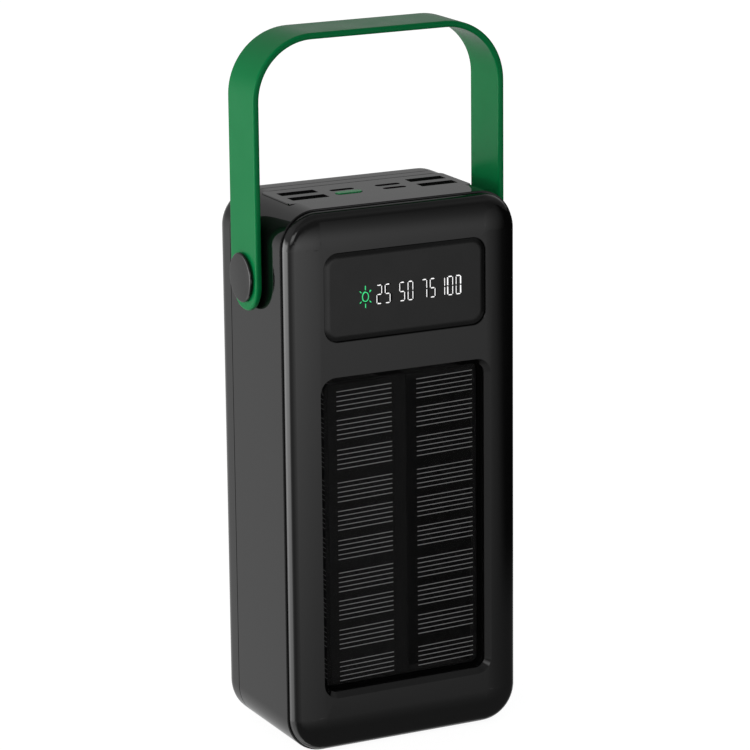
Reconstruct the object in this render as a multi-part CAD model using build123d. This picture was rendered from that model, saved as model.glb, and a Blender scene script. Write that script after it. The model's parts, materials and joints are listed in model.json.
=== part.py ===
"""Solar power bank with a carrying handle, as an assembly of separate pieces.

Frame: millimetres, +Z up, +X to the right seen from the front, the front face looks along -Y.
The origin is the centre of the base.
"""
from build123d import *
import os

os.makedirs("parts", exist_ok=True)

# ---- housing -------------------------------------------------------------------------------
BODY_W = 80.0
BODY_D = 52.2
BODY_H = 173.0
CORNER_R = 12.0
WALL = 2.2
FRONT_Y = -BODY_D / 2
REAR_Y = BODY_D / 2
FRONT_SEAM_Y = -21.9
REAR_SEAM_Y = 14.2
MID_Z = BODY_H / 2
FIT_GAP = 0.1
BEZEL_INSET = 0.6
BEZEL_CROWN_R = 60.0
BEZEL_CROWN_W = 10.9  # the bezel's front falls away along a shallow arc over this border
BEZEL_EDGE_R = 3.2
REAR_EDGE_R = 7.4
SKIRT_WALL = 1.3
SKIRT_DEPTH = 2.8
SEAM_CHAMFER = 0.25
REAR_SEAM_CHAMFER = 0.15
FRONT_SHIFT_X = 0.5  # the solar recess and the display lie this far right of the middle

# ---- solar panel and its recess ------------------------------------------------------------
SOLAR_W = 55.6
SOLAR_Z = (19.2, 119.1)
SOLAR_R = 3.4
SOLAR_FACE_Y = FRONT_Y + 4.7
SOLAR_RIM = 1.65
GASKET_W = 0.75
GASKET_GAP = 0.03
GASKET_PROUD = 0.15
COVER_T = 0.4
CELL_FILM_T = 0.3
BACKSHEET_T = 1.0
FILM_W = 22.4
FILM_GAP = 4.6
FILM_MARGIN_Z = 1.8
TRAY_FLOOR_T = 1.2
TRAY_FLOOR_Y = SOLAR_FACE_Y + COVER_T + CELL_FILM_T + BACKSHEET_T

# ---- display -------------------------------------------------------------------------------
DISPLAY_W = 55.5
DISPLAY_Z = (131.7, 159.5)
DISPLAY_R = 4.6
DISPLAY_GAP = 0.15
DISPLAY_RIM = 0.15
DISPLAY_RECESS = 0.1
CROWN_R = 5.3
CROWN_W = 2.15
WINDOW_T = 1.6
DISPLAY_LEDGE = 1.6
HOUSING_T = 2.2
HOUSING_W = 42.0
HOUSING_Z = (138.0, 152.5)
DISPLAY_BOARD_T = 1.0
DISPLAY_BOARD_W = 55.0
DISPLAY_BOARD_Z = (132.4, 158.8)

# ---- lit numbers ---------------------------------------------------------------------------
DIGIT_H = 6.2
DIGIT_W = 2.2
DIGIT_PITCH = 2.65
DIGIT_MID_Z = 145.2
SEGMENT_STROKE = 0.38
SEGMENT_GAP = 0.14
LIT_PROUD = 0.05
LIT_T = 0.6
NUMBERS = {"25": -9.0, "50": -1.4, "75": 6.2, "100": 13.9}
SUN_X = -13.3
SUN_Z = 144.9
SUN_RING = (1.2, 1.85)
SUN_STROKE = 0.32
SUN_RAY = (0.7, 1.35)
SUN_RAY_GAP = 0.3
SUN_SLANT = 40.0
SUN_SLANT_AT = (1.6, 1.9)

# ---- handle and its pivots -----------------------------------------------------------------
PIVOT_Y = -1.73
PIVOT_Z = 149.6
HANDLE_INNER_X = 40.92
HANDLE_T = 2.04
HANDLE_W = 18.9
HANDLE_TOP_Z = 224.8
HANDLE_CORNER_R = 20.0
HANDLE_EDGE_R = 0.8
HANDLE_END_R = HANDLE_W / 2
HANDLE_END_DROP = 1.0  # the round end's centre lies this far below the pivot
RUN_GAP = 0.05
AXLE_R = 4.5
CAP_R = 7.7
CAP_OUTER_X = 44.3
CAP_EDGE = 0.2
CAP_DISC_T = 0.8
CAP_NECK_R = 6.6
SPIGOT_R = 3.5
SPIGOT_INNER_X = 35.2
BOSS_R = 5.2
BOSS_INNER_X = 34.4
PIVOT_SCREW_R = 1.25
PIVOT_SCREW_HEAD_R = 2.6
PIVOT_SCREW_HEAD_T = 1.7
PIVOT_SCREW_TIP_X = 41.5
WASHER_R = 7.0

# ---- port plate and sockets ----------------------------------------------------------------
PLATE_W = 62.8
PLATE_Y = (-11.3, 9.6)
PLATE_R = 1.6
PLATE_T = 1.5
PLATE_GAP = 0.12
PLATE_LEDGE = 2.0
PLATE_SINK = 0.05
USB_A_X = {"left": -22.0, "right": 22.5}
USB_A_ROWS = {"rear": 3.1, "front": -4.8}
USB_A_OPENING = (12.5, 4.5)
USB_A_CAVITY = (12.5, 4.9)
USB_A_SHEET = 0.25
USB_A_DEPTH = 13.2
USB_A_TONGUE = (11.1, 1.8)
USB_A_TONGUE_SHIFT = 1.0
USB_A_TONGUE_DEPTH = 1.4
SMALL_SHEET = 0.25
SMALL_PORTS = {
    # name: (x, y, opening width, opening height, tongue width, tongue thickness, tongue depth, depth)
    "micro_usb": (-7.7, 1.1, 8.2, 2.5, 5.4, 0.7, 0.9, 6.0),
    "green_usb_c": (-7.7, -3.9, 9.2, 3.2, 8.2, 2.3, 0.3, 7.2),
    "usb_c": (8.1, 1.0, 8.5, 2.5, 6.6, 0.7, 0.9, 7.2),
    "slim_port": (8.0, -4.1, 7.9, 2.4, 6.0, 0.5, 0.9, 7.2),
}
SOCKET_FLOOR_T = 1.0

# ---- main board ----------------------------------------------------------------------------
BOARD_Y = (-1.9, -0.7)
BOARD_W = 60.0
BOARD_Z = (144.8, 169.4)
BOARD_SCREW_X = 25.0
BOARD_SCREW_Z = 148.0
BOARD_SCREW_R = 1.0
BOARD_SCREW_HEAD_R = 1.9
BOARD_SCREW_HEAD_T = 1.2
BOARD_SCREW_LENGTH = 4.5

# ---- cells ---------------------------------------------------------------------------------
CELL_R = 9.1
CELL_PITCH = 18.4
CELL_LENGTH = 65.0
CELLS_ACROSS = 4
CELL_MID_Y = 3.4
CELL_RIM = 0.8
CELL_GROOVE_Z = 4.0
CELL_GROOVE_DEPTH = 0.35
CELL_STACK_Z = 11.4
STRIP_T = 0.2
STRIP_W = 7.0
SPACER_T = 0.8
TRAY_T = 1.2
TRAY_RIM_T = 0.6
TRAY_RIM_H = 5.0
TRAY_R = 6.0
TRAY_POST_R = 2.4

# ---- rear screws ---------------------------------------------------------------------------
REAR_SCREWS = ((-27.0, 6.8), (27.0, 6.8), (-27.0, 163.6), (27.0, 163.6))
REAR_POST_R = 3.0
REAR_SCREW_R = 1.2
REAR_SCREW_HEAD_R = 2.3
REAR_SCREW_HEAD_T = 1.6
REAR_SCREW_SINK = 6.0
REAR_SCREW_THREAD = 6.5
REAR_POST_DEPTH = 8.0
HEAD_CLEARANCE = 0.2
CROSS_SLOT = (0.6, 2.8)
CROSS_SLOT_DEPTH = 0.8

# ---- power button --------------------------------------------------------------------------
BUTTON_Y = -16.2
BUTTON_Z = 126.0
BUTTON_W = 4.4
BUTTON_H = 12.0
BUTTON_PROUD = 0.45
BUTTON_TRAVEL = 0.4
BUTTON_GAP = 0.1
BUTTON_FLANGE = 0.7
BUTTON_FLANGE_T = 0.6
BUTTON_EDGE = 0.2
SWITCH_SIZE = 3.6
SWITCH_T = 1.4
SWITCH_PLUNGER_R = 0.9
BUTTON_BOARD_T = 0.8
BUTTON_BOARD_H = 16.0
RAIL_T = 1.2
RAIL_INNER_X = 34.0

# ---- leads ---------------------------------------------------------------------------------
LEAD_R = 0.8
RIBBON_T = 0.3
RIBBON_W = 8.0
RIBBON_X = -23.5
RIBBON_Z = 153.0


# ---- shape helpers -------------------------------------------------------------------------
def block(x_range, y_range, z_range):
    """A box between two corners."""
    size = [b - a for a, b in (x_range, y_range, z_range)]
    middle = [(a + b) / 2 for a, b in (x_range, y_range, z_range)]
    return Pos(*middle) * Box(*size)


def rod(axis, start, end, centre, radius):
    """A cylinder along X, Y or Z; centre holds the other two coordinates in X, Y, Z order."""
    turn = {"X": Rot(0, 90, 0), "Y": Rot(90, 0, 0), "Z": Rot(0, 0, 0)}[axis]
    middle = (start + end) / 2
    place = {
        "X": (middle, centre[0], centre[1]),
        "Y": (centre[0], middle, centre[1]),
        "Z": (centre[0], centre[1], middle),
    }[axis]
    return Pos(*place) * turn * Cylinder(radius, abs(end - start))


def upright_slab(x_range, z_range, radius, y_range):
    """A rounded rectangle in the XZ plane, given thickness along Y."""
    width = x_range[1] - x_range[0]
    height = z_range[1] - z_range[0]
    middle = (sum(x_range) / 2, y_range[1], sum(z_range) / 2)
    plane = Plane(origin=middle, x_dir=(1, 0, 0), z_dir=(0, -1, 0))
    return extrude(plane * RectangleRounded(width, height, radius), amount=y_range[1] - y_range[0])


def flat_slab(x_range, y_range, radius, z_range):
    """A rounded rectangle in the XY plane, given thickness along Z."""
    width = x_range[1] - x_range[0]
    depth = y_range[1] - y_range[0]
    plane = Plane(origin=(sum(x_range) / 2, sum(y_range) / 2, z_range[0]))
    return extrude(plane * RectangleRounded(width, depth, radius), amount=z_range[1] - z_range[0])


def body_slab(inset, y_range):
    """The housing's rounded outline, drawn in by inset, between two depths."""
    half = BODY_W / 2 - inset
    return upright_slab((-half, half), (inset, BODY_H - inset), CORNER_R - inset, y_range)


def front_slab(width, z_range, radius, margin, y_range):
    """The outline of an opening in the front face, grown by margin, between two depths."""
    return upright_slab(span(FRONT_SHIFT_X, width + 2 * margin), grow(z_range, margin), radius + margin,
                        y_range)


def edges_at_y(solid, y):
    """The edges that lie wholly in the plane at this depth."""
    return solid.edges().filter_by_position(Axis.Y, y - 0.01, y + 0.01)


def span(middle, size):
    return (middle - size / 2, middle + size / 2)


def grow(pair, by):
    return (pair[0] - by, pair[1] + by)


def tube_path(points, bend):
    """A lead of LEAD_R along straight runs joined by tangent arcs."""
    path = FilletPolyline(*points, radius=bend)
    start = Plane(origin=path @ 0, z_dir=path % 0)
    return sweep(start * Circle(LEAD_R), path=path)


# ---- housing -------------------------------------------------------------------------------
def front_bezel():
    shell = body_slab(BEZEL_INSET, (FRONT_Y, FRONT_SEAM_Y)) & bezel_crown()
    drop = BEZEL_CROWN_R - (BEZEL_CROWN_R ** 2 - BEZEL_CROWN_W ** 2) ** 0.5
    shell = fillet(edges_at_y(shell, FRONT_Y + drop), BEZEL_EDGE_R)
    skirt_y = (FRONT_SEAM_Y, FRONT_SEAM_Y + SKIRT_DEPTH)
    shell += body_slab(WALL + FIT_GAP, skirt_y)
    shell -= body_slab(WALL + FIT_GAP + SKIRT_WALL, (FRONT_Y + WALL, skirt_y[1]))
    shell += front_slab(SOLAR_W, SOLAR_Z, SOLAR_R, WALL, (FRONT_Y + WALL, TRAY_FLOOR_Y + TRAY_FLOOR_T))
    shell -= front_slab(SOLAR_W, SOLAR_Z, SOLAR_R, 0, (FRONT_Y, TRAY_FLOOR_Y))
    shell -= flared_mouth(SOLAR_W, SOLAR_Z, SOLAR_R, SOLAR_RIM)
    shell -= rod("Y", TRAY_FLOOR_Y, TRAY_FLOOR_Y + TRAY_FLOOR_T, (0, SOLAR_Z[1] - WALL), 2 * LEAD_R + WALL)
    ledge_y = FRONT_Y + DISPLAY_RECESS + WINDOW_T
    shell += front_slab(DISPLAY_W, DISPLAY_Z, DISPLAY_R, WALL, (FRONT_Y + WALL, ledge_y + WALL))
    shell -= front_slab(DISPLAY_W, DISPLAY_Z, DISPLAY_R, 0, (FRONT_Y, ledge_y))
    shell -= flared_mouth(DISPLAY_W, DISPLAY_Z, DISPLAY_R, DISPLAY_RIM)
    return shell - front_slab(DISPLAY_W, DISPLAY_Z, DISPLAY_R, -DISPLAY_LEDGE, (ledge_y, ledge_y + WALL))


def bezel_crown():
    """A large block whose front edges are rounded by the bezel's shallow arc."""
    grown = BEZEL_CROWN_R - BEZEL_CROWN_W - BEZEL_INSET
    crown = body_slab(-grown, (FRONT_Y, FRONT_Y + 2 * BEZEL_CROWN_R))
    return fillet(edges_at_y(crown, FRONT_Y), BEZEL_CROWN_R)


def flared_mouth(width, z_range, radius, rim):
    """What a slanted border of this width takes off an opening in the front face."""
    height = z_range[1] - z_range[0]
    plane = Plane(origin=(FRONT_SHIFT_X, FRONT_Y, sum(z_range) / 2), x_dir=(1, 0, 0), z_dir=(0, 1, 0))
    outline = RectangleRounded(width + 2 * rim, height + 2 * rim, radius + rim)
    return extrude(plane * outline, amount=rim, taper=45)


def middle_shell():
    shell = body_slab(0, (FRONT_SEAM_Y, REAR_SEAM_Y))
    shell = chamfer(edges_at_y(shell, FRONT_SEAM_Y), SEAM_CHAMFER)
    shell = chamfer(edges_at_y(shell, REAR_SEAM_Y), REAR_SEAM_CHAMFER)
    shell -= body_slab(WALL, (FRONT_SEAM_Y, REAR_SEAM_Y))
    for side in (-1, 1):
        shell += rod("X", side * BOSS_INNER_X, side * (BODY_W / 2 - WALL / 2), (PIVOT_Y, PIVOT_Z), BOSS_R)
    post_y = (REAR_SEAM_Y - REAR_POST_DEPTH, REAR_SEAM_Y)
    for x, z in REAR_SCREWS:
        shell += rear_post(x, z, post_y) & body_slab(WALL / 2, post_y)
    for rail_z in board_rails():
        shell += block((RAIL_INNER_X, BODY_W / 2 - WALL / 2), span(BUTTON_Y, BUTTON_W), rail_z)
    for side in (-1, 1):
        outer = side * BODY_W / 2
        shell -= rod("X", side * SPIGOT_INNER_X, outer, (PIVOT_Y, PIVOT_Z), SPIGOT_R + RUN_GAP)
        shell -= rod("X", side * BOSS_INNER_X, side * SPIGOT_INNER_X, (PIVOT_Y, PIVOT_Z),
                     PIVOT_SCREW_R + HEAD_CLEARANCE)
    for x, z in REAR_SCREWS:
        shell -= rod("Y", REAR_SEAM_Y - REAR_SCREW_THREAD, REAR_SEAM_Y, (x, z), REAR_SCREW_R)
    half = PLATE_W / 2
    shell -= flat_slab(grow((-half, half), PLATE_GAP), grow(PLATE_Y, PLATE_GAP), PLATE_R + PLATE_GAP,
                       (BODY_H - PLATE_T - PLATE_SINK, BODY_H))
    shell -= flat_slab(grow((-half, half), -PLATE_LEDGE), grow(PLATE_Y, -PLATE_LEDGE), PLATE_R,
                       (BODY_H - WALL - 2 * FIT_GAP, BODY_H))
    hole_y = span(BUTTON_Y, BUTTON_W + 2 * BUTTON_GAP)
    hole_z = span(BUTTON_Z, BUTTON_H + 2 * BUTTON_GAP)
    shell -= button_slab(hole_y, hole_z, (BODY_W / 2 - WALL, BODY_W / 2))
    return shell


def board_rails():
    """The two ribs that hold the button board's ends."""
    low, high = span(BUTTON_Z, BUTTON_BOARD_H)
    return [(low - RAIL_T, low), (high, high + RAIL_T)]


def rear_post(x, z, y_range):
    """A screw post with a web that ties it to the nearest flat wall."""
    wall_z = 0 if z < MID_Z else BODY_H
    post = rod("Y", y_range[0], y_range[1], (x, z), REAR_POST_R)
    low, high = sorted((z, wall_z + (WALL / 2 if wall_z == 0 else -WALL / 2)))
    return post + block(span(x, REAR_POST_R), y_range, (low, high))


def button_slab(y_range, z_range, x_range):
    """A pill shape in the YZ plane, given thickness along X."""
    width = y_range[1] - y_range[0]
    height = z_range[1] - z_range[0]
    middle = (x_range[0], sum(y_range) / 2, sum(z_range) / 2)
    plane = Plane(origin=middle, x_dir=(0, 1, 0), z_dir=(1, 0, 0))
    pill = plane * RectangleRounded(width, height, width / 2 - 0.01)
    return extrude(pill, amount=x_range[1] - x_range[0])


def rear_cover():
    solid = body_slab(0, (REAR_SEAM_Y, REAR_Y))
    solid = fillet(edges_at_y(solid, REAR_Y), REAR_EDGE_R)
    solid = chamfer(edges_at_y(solid, REAR_SEAM_Y), REAR_SEAM_CHAMFER)
    hollow = body_slab(WALL, (REAR_SEAM_Y, REAR_Y - WALL))
    hollow = fillet(edges_at_y(hollow, REAR_Y - WALL), REAR_EDGE_R - WALL)
    cover = solid - hollow
    inside = body_slab(WALL / 2, (REAR_SEAM_Y, REAR_Y - WALL / 2))
    inside = fillet(edges_at_y(inside, REAR_Y - WALL / 2), REAR_EDGE_R - WALL / 2)
    for x, z in REAR_SCREWS:
        cover += rear_post(x, z, (REAR_SEAM_Y, REAR_Y)) & inside
    for x, z in REAR_SCREWS:
        cover -= rod("Y", REAR_SEAM_Y, REAR_Y, (x, z), REAR_SCREW_R + HEAD_CLEARANCE)
        cover -= rod("Y", REAR_Y - REAR_SCREW_SINK - REAR_SCREW_HEAD_T, REAR_Y, (x, z),
                     REAR_SCREW_HEAD_R + HEAD_CLEARANCE)
    return cover


def port_plate():
    half = PLATE_W / 2
    top = BODY_H - PLATE_SINK
    plate = flat_slab((-half, half), PLATE_Y, PLATE_R, (top - PLATE_T, top))
    for x, y, width, height, radius in socket_openings():
        plate -= flat_slab(span(x, width), span(y, height), radius, (top - PLATE_T, top))
    return plate


def socket_openings():
    """Centre, size and corner radius of every opening in the port plate."""
    openings = []
    for x in USB_A_X.values():
        for y in USB_A_ROWS.values():
            openings.append((x, y, *USB_A_OPENING, 0.3))
    for x, y, width, height, *_ in SMALL_PORTS.values():
        openings.append((x, y, width, height, height / 2 - 0.01))
    return openings


# ---- solar panel ---------------------------------------------------------------------------
def solar_layer(y_front, thickness):
    return front_slab(SOLAR_W, SOLAR_Z, SOLAR_R, -GASKET_W, (y_front, y_front + thickness))


def solar_gasket():
    """A rubber frame between the panel's edge and the recess walls."""
    y_range = (SOLAR_FACE_Y - GASKET_PROUD, TRAY_FLOOR_Y)
    ring = front_slab(SOLAR_W, SOLAR_Z, SOLAR_R, -GASKET_GAP, y_range)
    return ring - front_slab(SOLAR_W, SOLAR_Z, SOLAR_R, GASKET_GAP - GASKET_W, y_range)


def solar_film(side):
    """One of the two columns of solar cell film, side -1 for left."""
    near = FILM_GAP / 2
    low, high = sorted((side * near, side * (near + FILM_W)))
    y_front = SOLAR_FACE_Y + COVER_T
    x_range = (FRONT_SHIFT_X + low, FRONT_SHIFT_X + high)
    return block(x_range, (y_front, y_front + CELL_FILM_T), grow(SOLAR_Z, -FILM_MARGIN_Z))


# ---- display -------------------------------------------------------------------------------
def display_window():
    """A flat window whose border falls away along a shallow arc."""
    front = FRONT_Y + DISPLAY_RECESS
    crown = front_slab(DISPLAY_W, DISPLAY_Z, DISPLAY_R, CROWN_R - CROWN_W, (front, front + 2 * CROWN_R))
    crown = fillet(edges_at_y(crown, front), CROWN_R)
    window = front_slab(DISPLAY_W, DISPLAY_Z, DISPLAY_R, -DISPLAY_GAP, (front, front + WINDOW_T)) & crown
    for x_start in NUMBERS:
        for bar in number_bars(x_start):
            window -= bar
    for piece in sun_pieces():
        window -= piece
    return window


def lit_y():
    front = FRONT_Y + DISPLAY_RECESS
    return (front - LIT_PROUD, front + LIT_T)


# Bars of a seven-segment digit: a top, b upper right, c lower right, d bottom, e lower left,
# f upper left, g middle.
DIGIT_BARS = {
    "0": "abcdef",
    "1": "bc",
    "2": "abged",
    "5": "afgcd",
    "7": "abc",
}


def digit_bars(digit, x):
    """The lit bars of one digit whose left edge is at x."""
    stroke = SEGMENT_STROKE
    half_h = DIGIT_H / 2
    low, mid, high = DIGIT_MID_Z - half_h, DIGIT_MID_Z, DIGIT_MID_Z + half_h
    across = (x + stroke / 2 + SEGMENT_GAP, x + DIGIT_W - stroke / 2 - SEGMENT_GAP)
    left = (x, x + stroke)
    right = (x + DIGIT_W - stroke, x + DIGIT_W)
    upper = (mid + SEGMENT_GAP, high - stroke / 2 - SEGMENT_GAP)
    lower = (low + stroke / 2 + SEGMENT_GAP, mid - SEGMENT_GAP)
    inner = grow(across, -stroke / 2)
    places = {
        "a": (inner, (high - stroke, high)),
        "b": (right, upper),
        "c": (right, lower),
        "d": (inner, (low, low + stroke)),
        "e": (left, lower),
        "f": (left, upper),
        "g": (inner, span(mid, stroke)),
    }
    if digit == "1":
        places = {"b": (left, upper), "c": (left, lower)}
    chosen = [places[name] for name in DIGIT_BARS[digit]]
    return [block(x_range, lit_y(), z_range) for x_range, z_range in chosen]


def number_bars(number):
    x = NUMBERS[number]
    bars = []
    for digit in number:
        bars += digit_bars(digit, x)
        x += DIGIT_PITCH if digit != "1" else DIGIT_PITCH / 3
    return bars


def sun_pieces():
    """An oval ring with an upright ray above and below and four slanted ones beside it."""
    y_range = lit_y()
    plane = Plane(origin=(SUN_X, y_range[1], SUN_Z), x_dir=(1, 0, 0), z_dir=(0, -1, 0))
    width, height = SUN_RING
    oval = Ellipse(width, height) - Ellipse(width - SUN_STROKE, height - SUN_STROKE)
    pieces = [extrude(plane * oval, amount=y_range[1] - y_range[0])]
    stroke = span(0, SUN_STROKE)
    for up in (-1, 1):
        start = height + SUN_RAY_GAP
        upright = block(stroke, y_range, sorted((up * start, up * (start + SUN_RAY[1]))))
        pieces.append(Pos(SUN_X, 0, SUN_Z) * upright)
        for side in (-1, 1):
            slanted = block(stroke, y_range, span(0, SUN_RAY[0]))
            place = Pos(SUN_X + side * SUN_SLANT_AT[0], 0, SUN_Z + up * SUN_SLANT_AT[1])
            pieces.append(place * Rot(0, up * side * SUN_SLANT, 0) * slanted)
    return pieces


def display_housing():
    back_of_window = FRONT_Y + DISPLAY_RECESS + WINDOW_T
    half = HOUSING_W / 2
    return upright_slab((-half, half), HOUSING_Z, 1.0, (back_of_window, back_of_window + HOUSING_T))


def display_board():
    front = FRONT_Y + DISPLAY_RECESS + WINDOW_T + HOUSING_T
    return block(span(0, DISPLAY_BOARD_W), (front, front + DISPLAY_BOARD_T), DISPLAY_BOARD_Z)


# ---- handle and pivots ---------------------------------------------------------------------
def handle():
    outer = HANDLE_INNER_X + HANDLE_T
    end_z = PIVOT_Z - HANDLE_END_DROP
    corner_outer = HANDLE_CORNER_R
    y_range = span(PIVOT_Y, HANDLE_W)
    below = end_z - 2 * corner_outer
    strap = upright_slab((-outer, outer), (below, HANDLE_TOP_Z), corner_outer, y_range)
    strap -= upright_slab((-HANDLE_INNER_X, HANDLE_INNER_X), (below, HANDLE_TOP_Z - HANDLE_T),
                          corner_outer - HANDLE_T, y_range)
    strap -= block((-outer, outer), y_range, (below, end_z))
    for side in (-1, 1):
        near, far = side * HANDLE_INNER_X, side * outer
        strap += rod("X", near, far, (PIVOT_Y, end_z), HANDLE_END_R)
    strap = fillet(outline_edges(strap, outer), HANDLE_EDGE_R)
    for side in (-1, 1):
        near, far = side * HANDLE_INNER_X, side * outer
        strap -= rod("X", near, far, (PIVOT_Y, PIVOT_Z), AXLE_R + RUN_GAP)
    return strap


def outline_edges(strap, outer):
    """The long edges of the strap, along its two rims and round its two ends."""
    rims = [e for y in span(PIVOT_Y, HANDLE_W) for e in edges_at_y(strap, y)]
    ends = []
    for side in (-1, 1):
        for x in (side * HANDLE_INNER_X, side * outer):
            face_edges = strap.edges().filter_by_position(Axis.X, x - 0.01, x + 0.01)
            ends += [e for e in face_edges if e.geom_type == GeomType.CIRCLE]
    return rims + ends


def pivot_cap(side):
    """Round cap with an axle that the handle turns on and a spigot through the side wall."""
    wall = side * BODY_W / 2
    inner = side * (HANDLE_INNER_X + HANDLE_T + RUN_GAP)
    outer = side * CAP_OUTER_X
    disc_back = outer - side * CAP_DISC_T
    disc = rod("X", disc_back, outer, (PIVOT_Y, PIVOT_Z), CAP_R)
    rim = disc.edges().filter_by_position(Axis.X, outer - 0.01, outer + 0.01)
    disc = chamfer(rim, CAP_EDGE)
    cap = disc + rod("X", inner, disc_back, (PIVOT_Y, PIVOT_Z), CAP_NECK_R)
    cap += rod("X", wall, inner, (PIVOT_Y, PIVOT_Z), AXLE_R)
    cap += rod("X", side * SPIGOT_INNER_X, wall, (PIVOT_Y, PIVOT_Z), SPIGOT_R)
    return cap - rod("X", side * SPIGOT_INNER_X, side * PIVOT_SCREW_TIP_X, (PIVOT_Y, PIVOT_Z),
                     PIVOT_SCREW_R)


def pivot_washer(side):
    low = side * BODY_W / 2
    high = side * (HANDLE_INNER_X - RUN_GAP)
    washer = rod("X", low, high, (PIVOT_Y, PIVOT_Z), WASHER_R)
    return washer - rod("X", low, high, (PIVOT_Y, PIVOT_Z), AXLE_R + RUN_GAP)


def pivot_screw(side):
    head = side * (BOSS_INNER_X - PIVOT_SCREW_HEAD_T)
    seat = side * BOSS_INNER_X
    screw = rod("X", head, seat, (PIVOT_Y, PIVOT_Z), PIVOT_SCREW_HEAD_R)
    return screw + rod("X", seat, side * PIVOT_SCREW_TIP_X, (PIVOT_Y, PIVOT_Z), PIVOT_SCREW_R)


# ---- sockets -------------------------------------------------------------------------------
SOCKET_TOP_Z = BODY_H - PLATE_SINK - PLATE_T


def socket_shell(x, y, width, height, radius, sheet, depth):
    """A metal sheet tube closed by an insulating floor, open at the top."""
    low = SOCKET_TOP_Z - depth
    outside = flat_slab(span(x, width + 2 * sheet), span(y, height + 2 * sheet), radius + sheet,
                        (low, SOCKET_TOP_Z))
    cavity = flat_slab(span(x, width), span(y, height), radius, (low + SOCKET_FLOOR_T, SOCKET_TOP_Z))
    return outside - cavity


def socket_tongue(x, y, width, thickness, depth, top_gap):
    low = SOCKET_TOP_Z - depth + SOCKET_FLOOR_T
    return block(span(x, width), span(y, thickness), (low, SOCKET_TOP_Z - top_gap))


def usb_a_pieces(x, y):
    shell = socket_shell(x, y, *USB_A_CAVITY, 0.3, USB_A_SHEET, USB_A_DEPTH)
    tongue = socket_tongue(x, y + USB_A_TONGUE_SHIFT, *USB_A_TONGUE, USB_A_DEPTH, USB_A_TONGUE_DEPTH)
    return shell, tongue


def small_port_pieces(port):
    x, y, width, height, tongue_w, tongue_t, tongue_depth, depth = port
    shell = socket_shell(x, y, width, height, height / 2 - 0.01, SMALL_SHEET, depth)
    tongue = socket_tongue(x, y, tongue_w, tongue_t, depth, tongue_depth)
    return shell, tongue


# ---- main board and what is on it ----------------------------------------------------------
def main_board():
    board = block(span(0, BOARD_W), BOARD_Y, BOARD_Z)
    for side in (-1, 1):
        board -= rod("Y", *BOARD_Y, (side * BOARD_SCREW_X, BOARD_SCREW_Z), BOARD_SCREW_R)
    return board


def power_inductors():
    """Four square power inductors, two on each face of the board."""
    coils = []
    for x in (-14.0, 14.0):
        coils.append(block(span(x, 7.0), (BOARD_Y[0] - 4.0, BOARD_Y[0]), (148.0, 155.0)))
        coils.append(block(span(x, 7.0), (BOARD_Y[1], BOARD_Y[1] + 4.0), (148.0, 155.0)))
    return Compound(children=[fillet(c.edges().filter_by(Axis.Y), 1.2) for c in coils])


def board_capacitors():
    cans = []
    for x in (-6.0, 0.0, 6.0):
        cans.append(rod("Y", BOARD_Y[1], BOARD_Y[1] + 5.4, (x, 149.0), 2.5))
    return Compound(children=cans)


def power_chips():
    chips = []
    for x in (-5.0, 5.0):
        chips.append(block(span(x, 5.0), (BOARD_Y[0] - 1.0, BOARD_Y[0]), (150.0, 155.0)))
    chips.append(block(span(0, 4.0), (BOARD_Y[1], BOARD_Y[1] + 1.0), (155.0, 159.0)))
    return Compound(children=chips)


def board_screws():
    screws = []
    for side in (-1, 1):
        centre = (side * BOARD_SCREW_X, BOARD_SCREW_Z)
        face = BOARD_Y[0]
        screw = rod("Y", face - BOARD_SCREW_HEAD_T, face, centre, BOARD_SCREW_HEAD_R)
        screws.append(screw + rod("Y", face, face + BOARD_SCREW_LENGTH, centre, BOARD_SCREW_R))
    return Compound(children=screws)


# ---- cells ---------------------------------------------------------------------------------
LOWER_CELLS_Z = (CELL_STACK_Z, CELL_STACK_Z + CELL_LENGTH)
SPACER_Z = (LOWER_CELLS_Z[1] + 2 * STRIP_T, LOWER_CELLS_Z[1] + 2 * STRIP_T + SPACER_T)
UPPER_CELLS_Z = (SPACER_Z[1] + STRIP_T, SPACER_Z[1] + STRIP_T + CELL_LENGTH)
CELL_ROWS_Y = (CELL_MID_Y - CELL_PITCH / 2, CELL_MID_Y + CELL_PITCH / 2)


def cell_columns():
    first = -(CELLS_ACROSS - 1) / 2 * CELL_PITCH
    return [first + index * CELL_PITCH for index in range(CELLS_ACROSS)]


def cell_row(y, z_range):
    """Four round cells side by side, each with the rolled groove near its upper end."""
    cells = []
    for x in cell_columns():
        cell = rod("Z", *z_range, (x, y), CELL_R)
        groove_z = span(z_range[1] - CELL_GROOVE_Z, CELL_RIM)
        ring = rod("Z", *groove_z, (x, y), CELL_R) - rod("Z", *groove_z, (x, y), CELL_R - CELL_GROOVE_DEPTH)
        cells.append(cell - ring)
    return Compound(children=cells)


def cell_block_slab(margin, z_range):
    half_x = CELL_PITCH * (CELLS_ACROSS - 1) / 2 + CELL_R + margin
    half_y = CELL_PITCH / 2 + CELL_R + margin
    return flat_slab((-half_x, half_x), span(CELL_MID_Y, 2 * half_y), TRAY_R, z_range)


def cell_tray(floor_z, rim_z):
    """A floor with a low rim round the block of cells; rim_z is the rim's far edge."""
    low, high = min(*floor_z, rim_z), max(*floor_z, rim_z)
    tray = cell_block_slab(TRAY_RIM_T, (low, high))
    inner = sorted((rim_z, floor_z[1] if rim_z > floor_z[1] else floor_z[0]))
    return tray - cell_block_slab(0.05, inner)


def cell_tray_lower():
    floor_top = LOWER_CELLS_Z[0] - STRIP_T
    return cell_tray((floor_top - TRAY_T, floor_top), floor_top + TRAY_RIM_H)


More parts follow.
